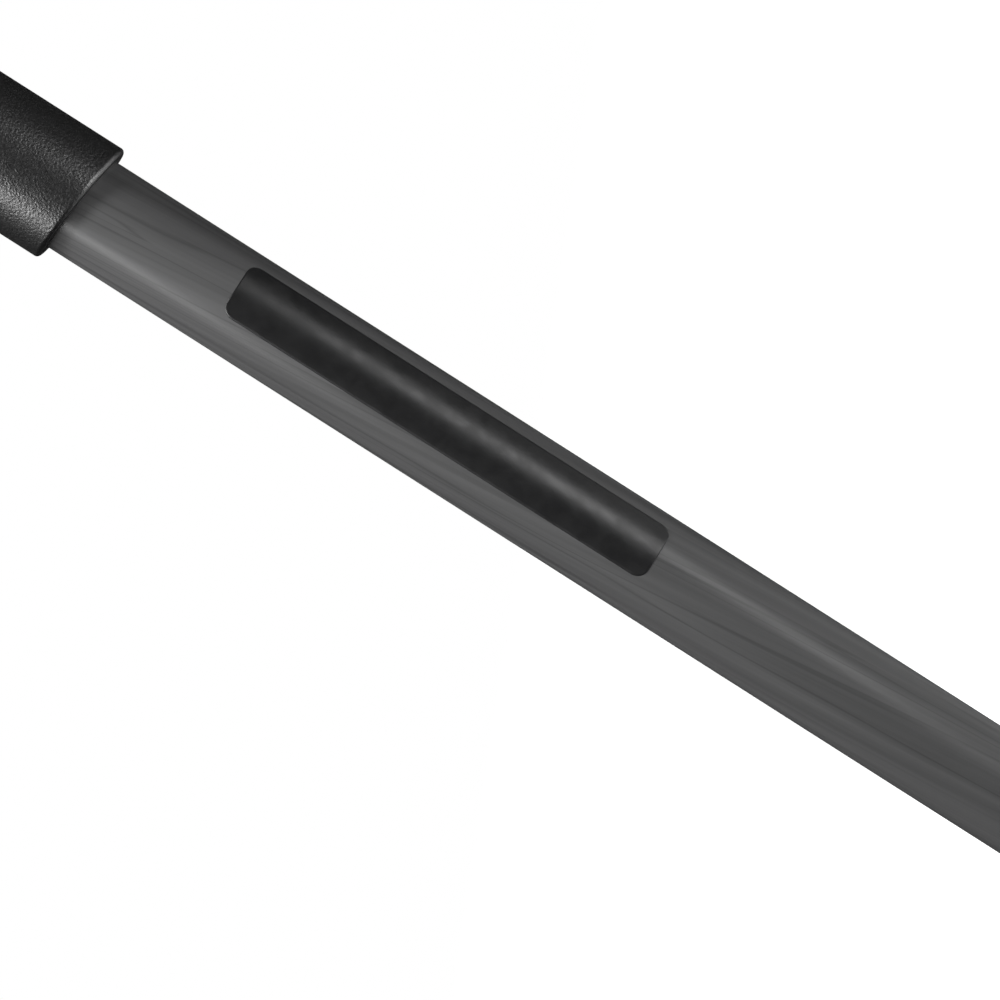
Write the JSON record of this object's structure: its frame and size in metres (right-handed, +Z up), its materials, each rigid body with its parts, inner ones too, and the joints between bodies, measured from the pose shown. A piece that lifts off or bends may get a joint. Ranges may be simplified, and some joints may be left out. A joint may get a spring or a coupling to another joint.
{
  "type": "camera tripod",
  "caption": "Folding camera tripod with telescoping twist-lock legs, stepped leg angle stops, sliding centre column and ball head with quick-release plate.",
  "frame": {"origin": "point on the floor plane, under the centre column's axis, midway between the feet", "axes": "+Z up along the centre column; leg A points along -Y; legs B and C point to +Y, 60 degrees either side"},
  "size_m": [0.3742, 0.3271, 0.6462],
  "materials": {
    "ball_finish": "hard anodised, smooth satin",
    "black_anodised": "black anodised, fine satin",
    "black_plastic": "black moulded plastic, matt",
    "black_steel": "blackened steel, satin",
    "casting_paint": "black textured paint, satin",
    "foot_rubber": "black rubber, matt",
    "grip_rubber": "black ribbed grip, matt",
    "inner_tube": "dark grey, satin",
    "level_window": "clear window over green fluid",
    "pad_rubber": "black rubber pad",
    "steel": "plain machined steel",
    "tube_grey": "dark grey with fine streaks along the tube, satin"
  },
  "bodies": {
    "spider": {"spider": "casting_paint", "pivot_bolts": "black_steel", "level_vial": "level_window", "column_bush": "black_plastic"},
    "column_lock": {"column_lock": "grip_rubber"},
    "column": {"column_tube": "tube_grey", "column_plate": "black_anodised", "head_stud": "steel", "head_set_screws": "black_steel", "column_cap": "black_plastic", "head_base": "black_anodised"},
    "hook": {"bag_hook": "steel"},
    "housing": {"head_housing": "black_anodised", "retaining_ring": "black_anodised", "pressure_cup": "black_plastic"},
    "ball_knob": {"ball_knob": "grip_rubber"},
    "pan_knob": {"pan_knob": "black_anodised"},
    "ball": {"ball": "ball_finish"},
    "stem": {"stem": "black_anodised", "clamp_screw": "black_steel"},
    "clamp": {"clamp_body": "black_anodised"},
    "jaw": {"clamp_jaw": "black_anodised"},
    "clamp_knob": {"clamp_knob": "grip_rubber"},
    "quick_plate": {"quick_plate": "black_anodised", "plate_pad": "pad_rubber"},
    "camera_screw": {"camera_screw": "steel"},
    "leg_upper_a": {"leg_casting_a": "casting_paint", "upper_tube_a": "tube_grey"},
    "tab_a": {"angle_tab_a": "black_plastic"},
    "leg_second_a": {"second_tube_a": "inner_tube"},
    "leg_third_a": {"third_tube_a": "inner_tube"},
    "leg_lower_a": {"lower_tube_a": "inner_tube", "foot_a": "foot_rubber", "foot_stud_a": "steel"},
    "upper_lock_a": {"upper_lock_a": "grip_rubber"},
    "middle_lock_a": {"middle_lock_a": "grip_rubber"},
    "lower_lock_a": {"lower_lock_a": "grip_rubber"},
    "leg_upper_b": {"leg_casting_b": "casting_paint", "upper_tube_b": "tube_grey"},
    "tab_b": {"angle_tab_b": "black_plastic"},
    "leg_second_b": {"second_tube_b": "inner_tube"},
    "leg_third_b": {"third_tube_b": "inner_tube"},
    "leg_lower_b": {"lower_tube_b": "inner_tube", "foot_b": "foot_rubber", "foot_stud_b": "steel"},
    "upper_lock_b": {"upper_lock_b": "grip_rubber"},
    "middle_lock_b": {"middle_lock_b": "grip_rubber"},
    "lower_lock_b": {"lower_lock_b": "grip_rubber"},
    "leg_upper_c": {"leg_casting_c": "casting_paint", "upper_tube_c": "tube_grey"},
    "tab_c": {"angle_tab_c": "black_plastic"},
    "leg_second_c": {"second_tube_c": "inner_tube"},
    "leg_third_c": {"third_tube_c": "inner_tube"},
    "leg_lower_c": {"lower_tube_c": "inner_tube", "foot_c": "foot_rubber", "foot_stud_c": "steel"},
    "upper_lock_c": {"upper_lock_c": "grip_rubber"},
    "middle_lock_c": {"middle_lock_c": "grip_rubber"},
    "lower_lock_c": {"lower_lock_c": "grip_rubber"}
  },
  "joints": [
    {"name": "leg_fold_a", "type": "hinge", "parent": "spider", "child": "leg_upper_a", "pos_m": [0, -0.044, 0.36893], "axis": [1, 0, 0], "range_deg": [-156, 24]},
    {"name": "angle_tab_a", "type": "slide", "parent": "leg_upper_a", "child": "tab_a", "axis": [0, 0.9135, 0.4067], "range_m": [0, 0.0046]},
    {"name": "upper_lock_a", "type": "hinge", "parent": "leg_upper_a", "child": "upper_lock_a", "pos_m": [0, -0.17355, 0.07796], "axis": [0, -0.4067, -0.9135], "range_deg": [0, 90]},
    {"name": "second_section_a", "type": "slide", "parent": "leg_upper_a", "child": "leg_second_a", "axis": [0, -0.4067, -0.9135], "range_m": [0, 0.264]},
    {"name": "middle_lock_a", "type": "hinge", "parent": "leg_second_a", "child": "middle_lock_a", "pos_m": [0, -0.18376, 0.05503], "axis": [0, -0.4067, -0.9135], "range_deg": [0, 90]},
    {"name": "third_section_a", "type": "slide", "parent": "leg_second_a", "child": "leg_third_a", "axis": [0, -0.4067, -0.9135], "range_m": [0, 0.286]},
    {"name": "lower_lock_a", "type": "hinge", "parent": "leg_third_a", "child": "lower_lock_a", "pos_m": [0, -0.19356, 0.03302], "axis": [0, -0.4067, -0.9135], "range_deg": [0, 90]},
    {"name": "lower_section_a", "type": "slide", "parent": "leg_third_a", "child": "leg_lower_a", "axis": [0, -0.4067, -0.9135], "range_m": [0, 0.308]},
    {"name": "leg_fold_b", "type": "hinge", "parent": "spider", "child": "leg_upper_b", "pos_m": [0.0381, 0.022, 0.36893], "axis": [0.5, -0.866, 0], "range_deg": [-24, 156]},
    {"name": "angle_tab_b", "type": "slide", "parent": "leg_upper_b", "child": "tab_b", "axis": [0.7912, 0.4568, -0.4067], "range_m": [-0.0046, 0]},
    {"name": "upper_lock_b", "type": "hinge", "parent": "leg_upper_b", "child": "upper_lock_b", "pos_m": [0.1503, 0.08677, 0.07796], "axis": [0.3522, 0.2034, -0.9135], "range_deg": [0, 90]},
    {"name": "second_section_b", "type": "slide", "parent": "leg_upper_b", "child": "leg_second_b", "axis": [0.3522, 0.2034, -0.9135], "range_m": [0, 0.264]},
    {"name": "middle_lock_b", "type": "hinge", "parent": "leg_second_b", "child": "middle_lock_b", "pos_m": [0.15914, 0.09188, 0.05503], "axis": [0.3522, 0.2034, -0.9135], "range_deg": [0, 90]},
    {"name": "third_section_b", "type": "slide", "parent": "leg_second_b", "child": "leg_third_b", "axis": [0.3522, 0.2034, -0.9135], "range_m": [0, 0.286]},
    {"name": "lower_lock_b", "type": "hinge", "parent": "leg_third_b", "child": "lower_lock_b", "pos_m": [0.16762, 0.09678, 0.03302], "axis": [0.3522, 0.2034, -0.9135], "range_deg": [0, 90]},
    {"name": "lower_section_b", "type": "slide", "parent": "leg_third_b", "child": "leg_lower_b", "axis": [0.3522, 0.2034, -0.9135], "range_m": [0, 0.308]},
    {"name": "leg_fold_c", "type": "hinge", "parent": "spider", "child": "leg_upper_c", "pos_m": [-0.0381, 0.022, 0.36893], "axis": [-0.5, -0.866, 0], "range_deg": [-156, 24]},
    {"name": "angle_tab_c", "type": "slide", "parent": "leg_upper_c", "child": "tab_c", "axis": [0.7912, -0.4568, 0.4067], "range_m": [0, 0.0046]},
    {"name": "upper_lock_c", "type": "hinge", "parent": "leg_upper_c", "child": "upper_lock_c", "pos_m": [-0.1503, 0.08677, 0.07796], "axis": [-0.3522, 0.2034, -0.9135], "range_deg": [0, 90]},
    {"name": "second_section_c", "type": "slide", "parent": "leg_upper_c", "child": "leg_second_c", "axis": [-0.3522, 0.2034, -0.9135], "range_m": [0, 0.264]},
    {"name": "middle_lock_c", "type": "hinge", "parent": "leg_second_c", "child": "middle_lock_c", "pos_m": [-0.15914, 0.09188, 0.05503], "axis": [-0.3522, 0.2034, -0.9135], "range_deg": [0, 90]},
    {"name": "third_section_c", "type": "slide", "parent": "leg_second_c", "child": "leg_third_c", "axis": [-0.3522, 0.2034, -0.9135], "range_m": [0, 0.286]},
    {"name": "lower_lock_c", "type": "hinge", "parent": "leg_third_c", "child": "lower_lock_c", "pos_m": [-0.16762, 0.09678, 0.03302], "axis": [-0.3522, 0.2034, -0.9135], "range_deg": [0, 90]},
    {"name": "lower_section_c", "type": "slide", "parent": "leg_third_c", "child": "leg_lower_c", "axis": [-0.3522, 0.2034, -0.9135], "range_m": [0, 0.308]},
    {"name": "column_slide", "type": "slide", "parent": "spider", "child": "column", "axis": [0, 0, 1], "range_m": [-0.15, 0.045]},
    {"name": "column_lock", "type": "hinge", "parent": "spider", "child": "column_lock", "pos_m": [0, 0, 0.39748], "axis": [0, 0, 1], "range_deg": [0, 90]},
    {"name": "hook_swivel", "type": "hinge", "parent": "column", "child": "hook", "pos_m": [0, 0, 0.30503], "axis": [0, 0, 1], "continuous": true},
    {"name": "head_pan", "type": "hinge", "parent": "column", "child": "housing", "pos_m": [0, 0, 0.57403], "axis": [0, 0, 1], "continuous": true},
    {"name": "pan_knob", "type": "hinge", "parent": "housing", "child": "pan_knob", "pos_m": [-0.01862, -0.01075, 0.57663], "axis": [-0.866, -0.5, 0], "range_deg": [0, 180]},
    {"name": "ball_knob", "type": "hinge", "parent": "housing", "child": "ball_knob", "pos_m": [0.01862, -0.01075, 0.58403], "axis": [0.866, -0.5, 0], "range_deg": [0, 180]},
    {"name": "ball_roll", "type": "hinge", "parent": "housing", "child": "ball", "pos_m": [0, 0, 0.59803], "axis": [0, -1, 0], "range_deg": [-30, 30]},
    {"name": "ball_tilt", "type": "hinge", "parent": "ball", "child": "stem", "pos_m": [0, 0, 0.59803], "axis": [-1, 0, 0], "range_deg": [-30, 90]},
    {"name": "ball_spin", "type": "hinge", "parent": "stem", "child": "clamp", "pos_m": [0, 0, 0.62613], "axis": [0, 0, 1], "continuous": true},
    {"name": "clamp_knob", "type": "hinge", "parent": "jaw", "child": "clamp_knob", "pos_m": [-0.022, 0, 0.62903], "axis": [-1, 0, 0], "range_deg": [0, 360]},
    {"name": "jaw_slide", "type": "slide", "parent": "clamp", "child": "jaw", "axis": [-1, 0, 0], "range_m": [0, 0.0025]},
    {"name": "plate_slide", "type": "slide", "parent": "clamp", "child": "quick_plate", "axis": [0, 1, 0], "range_m": [-0.01, 0.01]},
    {"name": "camera_screw", "type": "hinge", "parent": "quick_plate", "child": "camera_screw", "pos_m": [0, 0, 0.64003], "axis": [0, 0, 1], "continuous": true}
  ],
  "couplings": [
    {"joint": "clamp_knob", "follows": "jaw_slide", "rad_per_m": 2513.2}
  ]
}
